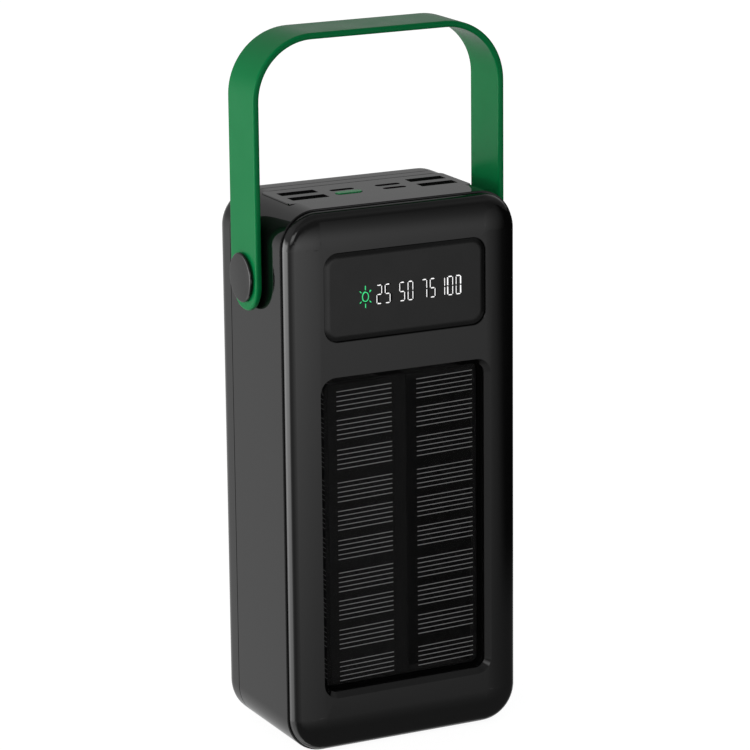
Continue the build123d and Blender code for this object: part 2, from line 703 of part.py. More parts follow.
def cell_tray_upper():
    floor_low = UPPER_CELLS_Z[1] + STRIP_T
    tray = cell_tray((floor_low, floor_low + TRAY_T), floor_low - TRAY_RIM_H)
    for side in (-1, 1):
        x = side * BOARD_SCREW_X
        post_y = (BOARD_Y[1], BOARD_Y[1] + 2 * TRAY_POST_R)
        post = block(span(x, 2 * TRAY_POST_R), post_y, (floor_low + TRAY_T / 2, BOARD_SCREW_Z + TRAY_POST_R))
        tray += post
        tray -= rod("Y", *post_y, (x, BOARD_SCREW_Z), BOARD_SCREW_R)
    return tray


def cell_spacer():
    half_x = CELL_PITCH * (CELLS_ACROSS - 1) / 2 + CELL_R
    half_y = CELL_PITCH / 2 + CELL_R
    return flat_slab((-half_x, half_x), span(CELL_MID_Y, 2 * half_y), TRAY_R, SPACER_Z)


def nickel_strips():
    """Welded strips across the ends of each row of cells."""
    length = CELL_PITCH * (CELLS_ACROSS - 1) + STRIP_W
    levels = (LOWER_CELLS_Z[0] - STRIP_T, LOWER_CELLS_Z[1], SPACER_Z[1], UPPER_CELLS_Z[1])
    strips = []
    for z in levels:
        for y in CELL_ROWS_Y:
            strips.append(block(span(0, length), span(y, STRIP_W), (z, z + STRIP_T)))
    return Compound(children=strips)


# ---- leads ---------------------------------------------------------------------------------
UPPER_TRAY_TOP_Z = UPPER_CELLS_Z[1] + STRIP_T + TRAY_T


def battery_leads():
    """Two leads that lie on the upper tray and rise to the board's lower edge."""
    leads = []
    for x in (-20.5, 20.5):
        base = UPPER_TRAY_TOP_Z + LEAD_R
        front_face = BOARD_Y[0] - LEAD_R
        points = ((x, -12.0, base), (x, front_face, base), (x, front_face, base + 4.0))
        leads.append(tube_path(points, 1.5))
    return Compound(children=leads)


def solar_leads():
    """Two leads from the solar panel's back, through the tray's hole, up to the board."""
    back = TRAY_FLOOR_Y
    leads = []
    for x in (-1.2, 1.2):
        low = SOLAR_Z[1] - WALL
        run_y = back + 2.6
        points = (
            (x, back, low),
            (x, run_y, low),
            (x, run_y, BOARD_Z[0] + 2.0),
            (x, BOARD_Y[0], BOARD_Z[0] + 2.0),
        )
        leads.append(tube_path(points, 1.5))
    return Compound(children=leads)


def display_ribbon():
    """A flat ribbon from the display board's back to the main board's front."""
    front = FRONT_Y + DISPLAY_RECESS + WINDOW_T + HOUSING_T + DISPLAY_BOARD_T
    return block(span(RIBBON_X, RIBBON_W), (front, BOARD_Y[0]), span(RIBBON_Z, RIBBON_T))


# ---- rear screws and button ----------------------------------------------------------------
def rear_screws():
    screws = []
    head_y = REAR_Y - REAR_SCREW_SINK
    seat_y = head_y - REAR_SCREW_HEAD_T
    for x, z in REAR_SCREWS:
        head = rod("Y", seat_y, head_y, (x, z), REAR_SCREW_HEAD_R)
        for across, tall in (CROSS_SLOT, CROSS_SLOT[::-1]):
            head -= block(span(x, across), (head_y - CROSS_SLOT_DEPTH, head_y), span(z, tall))
        shank = rod("Y", REAR_SEAM_Y - REAR_SCREW_THREAD, seat_y, (x, z), REAR_SCREW_R)
        screws.append(head + shank)
    return Compound(children=screws)


def power_button():
    inner_wall = BODY_W / 2 - WALL
    outer = BODY_W / 2 + BUTTON_PROUD
    key = button_slab(span(BUTTON_Y, BUTTON_W), span(BUTTON_Z, BUTTON_H), (inner_wall - RUN_GAP, outer))
    rim = key.edges().filter_by_position(Axis.X, outer - 0.01, outer + 0.01)
    key = chamfer(rim, BUTTON_EDGE)
    flange_x = (inner_wall - RUN_GAP - BUTTON_FLANGE_T, inner_wall - RUN_GAP)
    flange = button_slab(span(BUTTON_Y, BUTTON_W + BUTTON_FLANGE),
                         span(BUTTON_Z, BUTTON_H + 2 * BUTTON_FLANGE), flange_x)
    return key + flange


SWITCH_X = BODY_W / 2 - WALL - RUN_GAP - BUTTON_FLANGE_T - BUTTON_TRAVEL - 2 * RUN_GAP


def button_switch():
    """A tact switch whose plunger's top lies one button travel behind the button."""
    body_x = (SWITCH_X - SWITCH_T, SWITCH_X - SWITCH_T / 3)
    body = block(body_x, span(BUTTON_Y, SWITCH_SIZE), span(BUTTON_Z, SWITCH_SIZE))
    return body + rod("X", body_x[1], SWITCH_X, (BUTTON_Y, BUTTON_Z), SWITCH_PLUNGER_R)


def button_board():
    front = SWITCH_X - SWITCH_T
    return block((front - BUTTON_BOARD_T, front), span(BUTTON_Y, BUTTON_W), span(BUTTON_Z, BUTTON_BOARD_H))


# ---- write every piece ---------------------------------------------------------------------
def all_pieces():
    pieces = {
        "front_bezel": front_bezel(),
        "middle_shell": middle_shell(),
        "rear_cover": rear_cover(),
        "port_plate": port_plate(),
        "solar_cover": solar_layer(SOLAR_FACE_Y, COVER_T),
        "solar_cell_left": solar_film(-1),
        "solar_cell_right": solar_film(1),
        "solar_gasket": solar_gasket(),
        "solar_backsheet": solar_layer(SOLAR_FACE_Y + COVER_T + CELL_FILM_T, BACKSHEET_T),
        "display_window": display_window(),
        "display_housing": display_housing(),
        "display_board": display_board(),
        "sun_indicator": Compound(children=sun_pieces()),
        "handle": handle(),
        "main_board": main_board(),
        "power_inductors": power_inductors(),
        "board_capacitors": board_capacitors(),
        "power_chips": power_chips(),
        "board_screws": board_screws(),
        "cell_tray_lower": cell_tray_lower(),
        "cell_tray_upper": cell_tray_upper(),
        "cell_spacer": cell_spacer(),
        "nickel_strips": nickel_strips(),
        "battery_leads": battery_leads(),
        "solar_leads": solar_leads(),
        "display_ribbon": display_ribbon(),
        "rear_screws": rear_screws(),
        "power_button": power_button(),
        "button_switch": button_switch(),
        "button_board": button_board(),
    }
    for number in NUMBERS:
        pieces[f"digits_{number}"] = Compound(children=number_bars(number))
    for side, word in ((-1, "left"), (1, "right")):
        pieces[f"pivot_cap_{word}"] = pivot_cap(side)
        pieces[f"pivot_washer_{word}"] = pivot_washer(side)
        pieces[f"pivot_screw_{word}"] = pivot_screw(side)
        for row, y in USB_A_ROWS.items():
            shell, tongue = usb_a_pieces(USB_A_X[word], y)
            pieces[f"usb_a_shell_{row}_{word}"] = shell
            pieces[f"usb_a_tongue_{row}_{word}"] = tongue
    for name, port in SMALL_PORTS.items():
        shell, tongue = small_port_pieces(port)
        pieces[f"{name}_shell"] = shell
        pieces[f"{name}_tongue"] = tongue
    for row, y in zip(("front", "rear"), CELL_ROWS_Y):
        pieces[f"cells_{row}_lower"] = cell_row(y, LOWER_CELLS_Z)
        pieces[f"cells_{row}_upper"] = cell_row(y, UPPER_CELLS_Z)
    return pieces


for node, shape in all_pieces().items():
    export_step(shape, f"parts/{node}.step")
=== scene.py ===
"""Looks, light and camera for the solar power bank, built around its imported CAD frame.

Everything is in metres, in the CAD frame: +Z up, +X to the right seen from the front, and the
front face looks along -Y. Sizes in the tables below are millimetres and are scaled once by MM.
"""

import json
import math

import bmesh
import bpy
from mathutils import Matrix, Vector


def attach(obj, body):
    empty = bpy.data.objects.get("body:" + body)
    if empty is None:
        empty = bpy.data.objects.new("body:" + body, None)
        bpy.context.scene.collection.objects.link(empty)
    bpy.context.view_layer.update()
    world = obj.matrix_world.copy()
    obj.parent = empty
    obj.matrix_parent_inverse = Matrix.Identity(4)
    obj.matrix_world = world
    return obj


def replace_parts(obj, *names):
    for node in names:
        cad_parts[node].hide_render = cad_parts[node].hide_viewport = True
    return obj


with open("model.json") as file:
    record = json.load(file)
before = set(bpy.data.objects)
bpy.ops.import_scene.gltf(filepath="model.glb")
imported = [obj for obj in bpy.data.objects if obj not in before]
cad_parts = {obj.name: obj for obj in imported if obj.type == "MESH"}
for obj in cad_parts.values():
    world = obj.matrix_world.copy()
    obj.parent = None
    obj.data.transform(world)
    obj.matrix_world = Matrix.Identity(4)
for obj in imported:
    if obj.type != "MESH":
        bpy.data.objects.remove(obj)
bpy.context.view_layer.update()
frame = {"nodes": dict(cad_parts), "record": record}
nodes = frame["nodes"]
slot_of = {part["node"]: part["material_slot"] for part in frame["record"]["subparts"]}

MM = 0.001

# ---- camera --------------------------------------------------------------------------------
CAMERA_AZIMUTH = math.radians(-26.432)
CAMERA_ELEVATION = math.radians(14.413)
CAMERA_ROLL = math.radians(-0.603)
CAMERA_TARGET = Vector((6.912, 8.702, 110.036)) * MM
CAMERA_DISTANCE = 1185.44 * MM
CAMERA_LENS = 179.18
CAMERA_SENSOR = 36.0

# ---- places on the object, mm --------------------------------------------------------------
FILM_FRONT_Y = -21.0
REAR_SEAM_Y = 14.2
SEAM_SHADE_HALF = 0.2


def make_camera():
    azimuth, elevation, roll = CAMERA_AZIMUTH, CAMERA_ELEVATION, CAMERA_ROLL
    back = Vector((math.sin(azimuth) * math.cos(elevation),
                   -math.cos(azimuth) * math.cos(elevation),
                   math.sin(elevation)))
    level = Vector((math.cos(azimuth), math.sin(azimuth), 0))
    above = back.cross(level)
    right = level * math.cos(roll) + above * math.sin(roll)
    up = above * math.cos(roll) - level * math.sin(roll)
    data = bpy.data.cameras.new("camera")
    data.lens = CAMERA_LENS
    data.sensor_width = CAMERA_SENSOR
    data.clip_start = 0.05
    data.clip_end = 50.0
    camera = bpy.data.objects.new("camera", data)
    place = Matrix((right, up, back)).transposed().to_4x4()
    place.translation = CAMERA_TARGET + back * CAMERA_DISTANCE
    camera.matrix_world = place
    bpy.context.scene.collection.objects.link(camera)
    bpy.context.scene.camera = camera


# ---- node helpers --------------------------------------------------------------------------
def add(tree, kind, values=None, **settings):
    """A new shader node. A value that is a socket is linked, any other is set."""
    made = tree.nodes.new("ShaderNode" + kind)
    for key, value in settings.items():
        setattr(made, key, value)
    for key, value in (values or {}).items():
        if isinstance(value, bpy.types.NodeSocket):
            tree.links.new(value, made.inputs[key])
        else:
            made.inputs[key].default_value = value
    return made


def maths(tree, operation, *values):
    return add(tree, "Math", dict(enumerate(values)), operation=operation).outputs[0]


def ease(tree, value, low, high, to_low=0.0, to_high=1.0):
    """A smooth step from to_low, at low, to to_high, at high."""
    fields = {"Value": value, "From Min": low, "From Max": high, "To Min": to_low, "To Max": to_high}
    return add(tree, "MapRange", fields, interpolation_type="SMOOTHSTEP").outputs["Result"]


def band(tree, value, low, high, soft):
    """1 between low and high, easing to 0 over soft on either side."""
    rise = ease(tree, value, low - soft, low + soft)
    fall = ease(tree, value, high - soft, high + soft, 1.0, 0.0)
    return maths(tree, "MULTIPLY", rise, fall)


def tint(colour, factor):
    return (*(min(1.0, c * factor) for c in colour), 1.0)


def blend(tree, factor, first, second):
    """A colour between first and second."""
    mixed = add(tree, "Mix", {"Factor": factor, "A": first, "B": second}, data_type="RGBA")
    return mixed.outputs["Result"]


def new_material(name):
    material = bpy.data.materials.new(name)
    material.use_nodes = True
    material.node_tree.nodes.clear()
    return material, material.node_tree


def close(tree, shader):
    add(tree, "OutputMaterial", {"Surface": shader})


# ---- light ---------------------------------------------------------------------------------
STUDIO_LEVEL = 0.60
BACKDROP_LEVEL = 1.0
# The share of the studio's level that each darker zone takes away.
REAR_HIGH_SHARE = 0.4
FRONT_SHARE = 0.72
RIGHT_SHARE = 0.93
OVERHEAD_SHARE = 0.3
# What each light adds to it.
GLOW_LEVEL = 1.12
RIDGE_LEVEL = 0.28
SIDE_LEVEL = 3.9
CORNER_LEVEL = 2.4


def studio_zones(tree, azimuth, elevation):
    """The darker parts of the studio, each with its share."""
    rear = maths(tree, "ADD", ease(tree, azimuth, -150, -110, 1.0, 0.0), ease(tree, azimuth, 112, 150))
    rear_high = maths(tree, "MULTIPLY", rear, ease(tree, elevation, -6, 8))
    front_fade = ease(tree, elevation, 12, 50, 1.0, 0.55)
    front = maths(tree, "MULTIPLY", band(tree, azimuth, -62, 108, 10), front_fade)
    right = maths(tree, "MULTIPLY", band(tree, azimuth, 38, 150, 4), band(tree, elevation, -17.6, 8, 0.8))
    overhead = ease(tree, elevation, 34, 62)
    return ((rear_high, REAR_HIGH_SHARE), (front, FRONT_SHARE), (right, RIGHT_SHARE),
            (overhead, OVERHEAD_SHARE))


def studio_lights(tree, azimuth, elevation):
    """The soft lights, each with its level: a glow with a brighter ridge, a side light and a small
    one that puts the spark on the bezel's corner."""
    fall = ease(tree, azimuth, 16, 42, 1.0, 0.0)
    glow = maths(tree, "MULTIPLY", ease(tree, azimuth, -52, 2, 0.3, 1.0), fall)
    glow = maths(tree, "MULTIPLY", glow, ease(tree, azimuth, -70, -52))
    ridge = maths(tree, "MULTIPLY", band(tree, azimuth, 2, 13, 7), RIDGE_LEVEL)
    glow = maths(tree, "ADD", glow, ridge)
    glow = maths(tree, "MULTIPLY", glow, ease(tree, elevation, -27, -8))
    glow = maths(tree, "MULTIPLY", glow, ease(tree, elevation, -9, 2.5, 1.0, 0.0))
    rise = ease(tree, elevation, -26, -9, 0.25, 1.0)
    side = maths(tree, "MULTIPLY", band(tree, azimuth, -142, -76, 11), rise)
    side = maths(tree, "MULTIPLY", side, ease(tree, elevation, 2, 15, 1.0, 0.0))
    corner = maths(tree, "MULTIPLY", band(tree, azimuth, -55, -25, 8), band(tree, elevation, 8, 28, 6))
    return (glow, GLOW_LEVEL), (side, SIDE_LEVEL), (corner, CORNER_LEVEL)


def make_world():
    """A studio as a function of direction, in degrees from the front toward +X and above level.

    A wide soft light stands at the left, a pale glow lies low across the front and ends just right
    of the middle, and the right side is dark."""
    world = bpy.data.worlds.new("studio")
    world.use_nodes = True
    tree = world.node_tree
    tree.nodes.clear()
    toward = add(tree, "TexCoord").outputs["Generated"]
    split = add(tree, "SeparateXYZ", {"Vector": toward}).outputs
    behind = maths(tree, "MULTIPLY", split["Y"], -1.0)
    azimuth = maths(tree, "DEGREES", maths(tree, "ARCTAN2", split["X"], behind))
    elevation = maths(tree, "DEGREES", maths(tree, "ARCSINE", split["Z"]))

    level = STUDIO_LEVEL
    for zone, share in studio_zones(tree, azimuth, elevation):
        kept = maths(tree, "SUBTRACT", 1.0, maths(tree, "MULTIPLY", zone, share))
        level = maths(tree, "MULTIPLY", level, kept)
    for light, strength in studio_lights(tree, azimuth, elevation):
        level = maths(tree, "ADD", level, maths(tree, "MULTIPLY", light, strength))

    seen = add(tree, "LightPath").outputs["Is Camera Ray"]
    studio = add(tree, "Background", {"Color": (1, 1, 1, 1), "Strength": level}).outputs[0]
    plain = add(tree, "Background", {"Color": (1, 1, 1, 1), "Strength": BACKDROP_LEVEL}).outputs[0]
    both = add(tree, "MixShader", {0: seen, 1: studio, 2: plain}).outputs[0]
    add(tree, "OutputWorld", {"Surface": both})
    bpy.context.scene.world = world
    bpy.context.scene.view_settings.view_transform = "Standard"


# ---- floor ---------------------------------------------------------------------------------
FLOOR_HALF = 4.0
FLOOR_GREY = 0.25
FLOOR_GLOW = 0.94


def make_floor():
    mesh = bpy.data.meshes.new("floor")
    half = FLOOR_HALF
    corners = [(-half, -half, 0), (half, -half, 0), (half, half, 0), (-half, half, 0)]
    mesh.from_pydata(corners, [], [(0, 1, 2, 3)])
    floor = bpy.data.objects.new("floor", mesh)
    bpy.context.scene.collection.objects.link(floor)
    material, tree = new_material("pale_floor")
    coords = add(tree, "TexCoord").outputs["Object"]
    cloud = add(tree, "TexNoise", {"Vector": coords, "Scale": 3.0, "Detail": 2.0}).outputs["Fac"]
    rough = ease(tree, cloud, 0.3, 0.7, 0.75, 0.9)
    shader = add(tree, "BsdfPrincipled", {
        "Base Color": (FLOOR_GREY, FLOOR_GREY, FLOOR_GREY, 1), "Roughness": rough, "Specular IOR Level": 0.1,
        "Emission Color": (1, 1, 1, 1), "Emission Strength": FLOOR_GLOW}).outputs[0]
    close(tree, shader)
    mesh.materials.append(material)
    floor.visible_glossy = False
    floor.visible_diffuse = False
    floor.visible_transmission = False


# ---- materials -----------------------------------------------------------------------------
def plastic(name, colour, rough=0.05, specular=0.5, grain=0.22, depth=0.0004, edge=0.04, mottle=0.12,
            smudge=0.015, shaded_seam_y=None, sheen=0.0):
    """Moulded plastic: fine grain, faint mottle, uneven gloss and softly rounded edges. Sizes in mm.

    With a seam depth given, the plastic loses its reflection in a narrow band at that depth: painted shade
    for the seam there."""
    material, tree = new_material(name)
    coords = add(tree, "TexCoord").outputs["Object"]
    fine = add(tree, "TexNoise", {"Vector": coords, "Scale": 1 / (grain * MM), "Detail": 3.0}).outputs["Fac"]
    broad = add(tree, "TexNoise", {"Vector": coords, "Scale": 45.0, "Detail": 3.0}).outputs["Fac"]
    wiped = add(tree, "TexNoise", {
        "Vector": coords, "Scale": 130.0, "Detail": 5.0, "Roughness": 0.65}).outputs["Fac"]
    tone = blend(tree, broad, tint(colour, 1 - mottle), tint(colour, 1 + mottle))
    gloss = ease(tree, wiped, 0.3, 0.7, rough - smudge, rough + smudge)
    soft = add(tree, "Bevel", {"Radius": edge * MM}, samples=4).outputs[0] if edge else None
    bump_fields = {"Strength": 1.0, "Distance": depth * MM, "Height": fine}
    if soft:
        bump_fields["Normal"] = soft
    bump = add(tree, "Bump", bump_fields).outputs[0]
    if shaded_seam_y is not None:
        # painted shade: a narrow band at the seam's depth loses its reflection, standing in for the shade in
        # the seam
        depth_y = add(tree, "SeparateXYZ", {"Vector": coords}).outputs["Y"]
        joint_shade = band(tree, depth_y, (shaded_seam_y - SEAM_SHADE_HALF) * MM, (shaded_seam_y + SEAM_SHADE_HALF) * MM, 0.02 * MM)
        specular = maths(tree, "MULTIPLY", maths(tree, "SUBTRACT", 1.0, joint_shade), specular)
    shader = add(tree, "BsdfPrincipled", {
        "Base Color": tone, "Roughness": gloss, "Specular IOR Level": specular,
        "Sheen Weight": sheen, "Sheen Roughness": 0.3, "Normal": bump}).outputs[0]
    close(tree, shader)
    return material


def metal(name, colour, rough=0.3, spread=0.08, streak=1.8, lines=(1, 1, 12)):
    """Drawn or plated sheet metal with faint directional lines, streak mm wide."""
    material, tree = new_material(name)
    coords = add(tree, "TexCoord").outputs["Object"]
    stretched = add(tree, "Mapping", {"Vector": coords, "Scale": lines}).outputs[0]
    streaks = add(tree, "TexNoise", {
        "Vector": stretched, "Scale": 1 / (streak * MM), "Detail": 4.0}).outputs["Fac"]
    tone = blend(tree, streaks, tint(colour, 0.8), tint(colour, 1.15))
    gloss = ease(tree, streaks, 0.2, 0.8, rough - spread, rough + spread)
    bump = add(tree, "Bump", {"Distance": 0.003 * MM, "Height": streaks}).outputs[0]
    shader = add(tree, "BsdfPrincipled", {
        "Base Color": tone, "Metallic": 1.0, "Roughness": gloss, "Normal": bump}).outputs[0]
    close(tree, shader)
    return material


def lit(name, colour, strength):
    """A glowing bar behind a thin diffuser, a little brighter in some places."""
    material, tree = new_material(name)
    coords = add(tree, "TexCoord").outputs["Object"]
    uneven = add(tree, "TexNoise", {"Vector": coords, "Scale": 900.0, "Detail": 2.0}).outputs["Fac"]
    glow = ease(tree, uneven, 0.2, 0.8, strength * 0.92, strength * 1.08)
    shader = add(tree, "BsdfPrincipled", {
        "Base Color": tint(colour, 0.8), "Roughness": 0.4, "Emission Color": (*colour, 1.0),
        "Emission Strength": glow}).outputs[0]
    close(tree, shader)
    return material


def film(name):
    """Black crystalline cell film with a faint patchy sheen."""
    material, tree = new_material(name)
    coords = add(tree, "TexCoord").outputs["Object"]
    crystal = add(tree, "TexVoronoi", {"Vector": coords, "Scale": 520.0}).outputs["Distance"]
    cloud = add(tree, "TexNoise", {"Vector": coords, "Scale": 60.0, "Detail": 4.0}).outputs["Fac"]
    patch = maths(tree, "MULTIPLY", crystal, cloud)
    tone = blend(tree, patch, (0.0185, 0.0185, 0.0187, 1), (0.0215, 0.0215, 0.022, 1))
    shader = add(tree, "BsdfPrincipled", {
        "Base Color": tone, "Specular IOR Level": 0.05,
        "Roughness": ease(tree, cloud, 0.3, 0.7, 0.45, 0.55)}).outputs[0]
    close(tree, shader)
    return material


def clear_sheet(name):
    """Thin tinted laminate that shows what is under it."""
    material, tree = new_material(name)
    coords = add(tree, "TexCoord").outputs["Object"]
    wiped = add(tree, "TexNoise", {"Vector": coords, "Scale": 90.0, "Detail": 5.0}).outputs["Fac"]
    ripple = add(tree, "TexNoise", {"Vector": coords, "Scale": 25.0, "Detail": 2.0}).outputs["Fac"]
    bump = add(tree, "Bump", {"Distance": 0.002 * MM, "Height": ripple}).outputs[0]
    shader = add(tree, "BsdfPrincipled", {
        "Base Color": (0.002, 0.002, 0.0022, 1), "Alpha": 0.16, "Specular IOR Level": 0.3,
        "Roughness": ease(tree, wiped, 0.3, 0.7, 0.2, 0.23), "Normal": bump}).outputs[0]
    close(tree, shader)
    return material


def board(name, colour):
    """Solder mask over copper: darker ground with raised track-like cells."""
    material, tree = new_material(name)
    coords = add(tree, "TexCoord").outputs["Object"]
    cells = add(tree, "TexVoronoi", {"Vector": coords, "Scale": 350.0}, distance="MANHATTAN")
    tracks = cells.outputs["Distance"]
    tone = blend(tree, ease(tree, tracks, 0.25, 0.45), tint(colour, 0.7), tint(colour, 1.3))
    bump = add(tree, "Bump", {"Distance": 0.02 * MM, "Height": tracks}).outputs[0]
    shader = add(tree, "BsdfPrincipled", {
        "Base Color": tone, "Roughness": 0.35, "Normal": bump}).outputs[0]
    close(tree, shader)
    return material


def ink(name, colour):
    """Printed silver paste: matt, slightly uneven."""
    material, tree = new_material(name)
    coords = add(tree, "TexCoord").outputs["Object"]
    uneven = add(tree, "TexNoise", {"Vector": coords, "Scale": 700.0, "Detail": 3.0}).outputs["Fac"]
    tone = blend(tree, uneven, tint(colour, 0.8), tint(colour, 1.2))
    shader = add(tree, "BsdfPrincipled", {"Base Color": tone, "Roughness": 0.6}).outputs[0]
    close(tree, shader)
    return material


BLACK = (0.0045, 0.0045, 0.0046)
materials = {
    # the shell's rear seam gets painted shade: no reflection in a narrow band there
    "shell": plastic("shell_plastic", BLACK, shaded_seam_y=REAR_SEAM_Y),
    "port_plate": plastic("port_plate_plastic", (0.013, 0.0132, 0.0132), rough=0.08),
    "window": plastic("smoked_window", (0.0055, 0.0055, 0.0055), rough=0.25, specular=0.44, depth=0.001),
    "lit_white": lit("lit_white", (1.0, 1.0, 1.0), 0.92),
    "lit_green": lit("lit_green", (0.05, 0.75, 0.25), 0.75),
    "led_housing": plastic("led_housing_plastic", (0.01, 0.01, 0.01), rough=0.6),
    "board": board("board_mask", (0.01, 0.09, 0.03)),
    "chip": plastic("chip_epoxy", (0.01, 0.01, 0.01), rough=0.55, grain=0.1),
    "can": metal("can_metal", (0.75, 0.75, 0.77)),
    "inductor": plastic("inductor_ferrite", (0.06, 0.06, 0.065), rough=0.6, grain=0.12),
    "solar_cover": clear_sheet("solar_laminate"),
    "solar_film": film("solar_film"),
    "solar_backsheet": plastic("solar_backsheet", (0.0175, 0.0175, 0.0177), rough=0.5, specular=0.05),
    "gasket": plastic("gasket_rubber", (0.0012, 0.0012, 0.0012), rough=0.6, specular=0.05, edge=0.05),
    "handle": plastic("handle_plastic", (0.002, 0.213, 0.059), rough=0.22, specular=0.07, grain=0.3,
                      depth=0.002, edge=0, mottle=0.04, smudge=0.04, sheen=0.065),
    "pivot": plastic("pivot_plastic", BLACK, rough=0.08, edge=0),
    "washer": plastic("washer_nylon", (0.02, 0.02, 0.02), rough=0.5),
    "screw": metal("screw_zinc", (0.55, 0.55, 0.56), rough=0.28),
    "socket_shell": metal("socket_nickel", (0.5, 0.5, 0.52)),
    "socket_tongue": plastic("tongue_nylon", (0.01, 0.01, 0.01), rough=0.5),
    "green_tongue": plastic("tongue_green", (0.02, 0.42, 0.13), rough=0.3),
    "cell": plastic("cell_sleeve", (0.03, 0.12, 0.35), rough=0.25),
    "cell_tray": plastic("tray_plastic", (0.02, 0.02, 0.02), rough=0.5),
    "nickel": metal("nickel_strip", (0.65, 0.62, 0.55), lines=(12, 1, 1)),
    "lead": plastic("lead_silicone", (0.4, 0.02, 0.02), rough=0.45),
    "ribbon": plastic("ribbon_film", (0.7, 0.7, 0.68), rough=0.4),
    "button": plastic("button_plastic", BLACK, rough=0.24),
}
grid_ink = ink("collector_ink", (0.5, 0.5, 0.5))


# ---- carried-over CAD pieces ---------------------------------------------------------------
SMOOTH_ANGLE = math.radians(28)
CORNER_JOIN = 0.0005


def smooth_tree():
    """Joins a CAD mesh's split corners and shades it smooth, except over its real edges."""
    tree = bpy.data.node_groups.new("smooth_by_angle", "GeometryNodeTree")
    tree.is_modifier = True
    for way in ("INPUT", "OUTPUT"):
        tree.interface.new_socket("Geometry", in_out=way, socket_type="NodeSocketGeometry")
    start = tree.nodes.new("NodeGroupInput")
    joined = tree.nodes.new("GeometryNodeMergeByDistance")
    joined.inputs["Distance"].default_value = CORNER_JOIN * MM
    angle = tree.nodes.new("GeometryNodeInputMeshEdgeAngle")
    gentle = tree.nodes.new("FunctionNodeCompare")
    gentle.data_type = "FLOAT"
    gentle.operation = "LESS_THAN"
    gentle.inputs[1].default_value = SMOOTH_ANGLE
    edges = tree.nodes.new("GeometryNodeSetShadeSmooth")
    edges.domain = "EDGE"
    faces = tree.nodes.new("GeometryNodeSetShadeSmooth")
    faces.domain = "FACE"
    end = tree.nodes.new("NodeGroupOutput")
    tree.links.new(start.outputs[0], joined.inputs["Geometry"])
    tree.links.new(joined.outputs[0], edges.inputs["Geometry"])
    tree.links.new(angle.outputs["Unsigned Angle"], gentle.inputs[0])
    tree.links.new(gentle.outputs[0], edges.inputs["Shade Smooth"])
    tree.links.new(edges.outputs[0], faces.inputs["Geometry"])
    tree.links.new(faces.outputs[0], end.inputs[0])
    return tree


def dress_nodes(smooth):
    for name, piece in nodes.items():
        piece.data.materials.clear()
        piece.data.materials.append(materials[slot_of[name]])
        piece.modifiers.new("smooth", "NODES").node_group = smooth
        weighted = piece.modifiers.new("weighted", "WEIGHTED_NORMAL")
        weighted.weight = 50
        weighted.keep_sharp = True


# ---- drawn pieces --------------------------------------------------------------------------
def finish_piece(name, mesh_data, slot, material=None):
    """Turns mesh data into a piece of the housing, with its slot's own material unless one is given."""
    mesh = bpy.data.meshes.new(name)
    bmesh.ops.recalc_face_normals(mesh_data, faces=mesh_data.faces)
    mesh_data.to_mesh(mesh)
    mesh_data.free()
    mesh.materials.append(material or materials[slot])
    piece = bpy.data.objects.new(name, mesh)
    bpy.context.scene.collection.objects.link(piece)
    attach(piece, "housing")
    return piece


def prism(mesh_data, outline, y_front, y_back):
    """Closes an outline of (x, z) points, in mm, between two depths."""
    rings = [[mesh_data.verts.new((x * MM, y * MM, z * MM)) for x, z in outline] for y in (y_front, y_back)]
    mesh_data.faces.new(rings[0])
    mesh_data.faces.new(rings[1][::-1])
    count = len(outline)
    for i in range(count):
        j = (i + 1) % count
        mesh_data.faces.new((rings[0][i], rings[1][i], rings[1][j], rings[0][j]))


# ---- collector lines printed on the solar cells ----------------------------------------------
GRID_COLUMNS = ((-21.2, -2.2), (6.4, 26.0))
GRID_TOP_Z = 115.4
GRID_MID_X = 2.4
GRID_TILT = 0.026
GRID_STEPS = (9.15, 9.5, 10.5)
GRID_GROUPS = 10
GRID_LINES = 5
GRID_PITCH = 1.52
GRID_LINE = 0.23
GRID_PROUD = 0.03


def grid_levels():
    """The height of each printed collector line, from the top, halfway between the columns."""
    top = GRID_TOP_Z
    for group in range(GRID_GROUPS):
        for line in range(GRID_LINES):
            yield top - line * GRID_PITCH
        top -= GRID_STEPS[group % len(GRID_STEPS)]


def make_grid():
    for word, (left, right) in zip(("left", "right"), GRID_COLUMNS):
        mesh_data = bmesh.new()
        for z in grid_levels():
            low, high = z - GRID_LINE / 2, z + GRID_LINE / 2
            tip = GRID_LINE / 3
            outline = [(left, z), (left + tip, low), (right - tip, low), (right, z), (right - tip, high),
                       (left + tip, high)]
            outline = [(x, h + (x - GRID_MID_X) * GRID_TILT) for x, h in outline]
            prism(mesh_data, outline, FILM_FRONT_Y - GRID_PROUD, FILM_FRONT_Y + GRID_PROUD)
        finish_piece(f"collector_lines_{word}", mesh_data, "nickel", grid_ink)


# ---- green insert of the narrow front socket -------------------------------------------------
INSERT_AT = (-7.7, -3.75)
INSERT_SIZE = (8.7, 2.8)
INSERT_Z = (165.25, 173.2)
INSERT_STEPS = 12


def make_insert():
    """A pill-shaped green block that fills the socket and stands a little proud of it."""
    radius = INSERT_SIZE[1] / 2
    reach = INSERT_SIZE[0] / 2 - radius
    outline = []
    for side in (1, -1):
        for i in range(INSERT_STEPS + 1):
            turn = math.pi * (i / INSERT_STEPS - 0.5)
            x = INSERT_AT[0] + side * (reach + radius * math.cos(turn))
            y = INSERT_AT[1] + side * radius * math.sin(turn)
            outline.append((x * MM, y * MM))
    mesh_data = bmesh.new()
    rings = [[mesh_data.verts.new((x, y, z * MM)) for x, y in outline] for z in INSERT_Z]
    mesh_data.faces.new(rings[0][::-1])
    mesh_data.faces.new(rings[1])
    count = len(outline)
    for i in range(count):
        j = (i + 1) % count
        mesh_data.faces.new((rings[0][i], rings[0][j], rings[1][j], rings[1][i]))
    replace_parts(finish_piece("green_insert", mesh_data, "green_tongue"), "green_usb_c_tongue")


# ---- pivot caps ----------------------------------------------------------------------------
CAP_AT = (-1.73, 149.6)
CAP_STEPS = 96
CAP_ROUND = 0.5
CAP_ROUND_STEP = 10
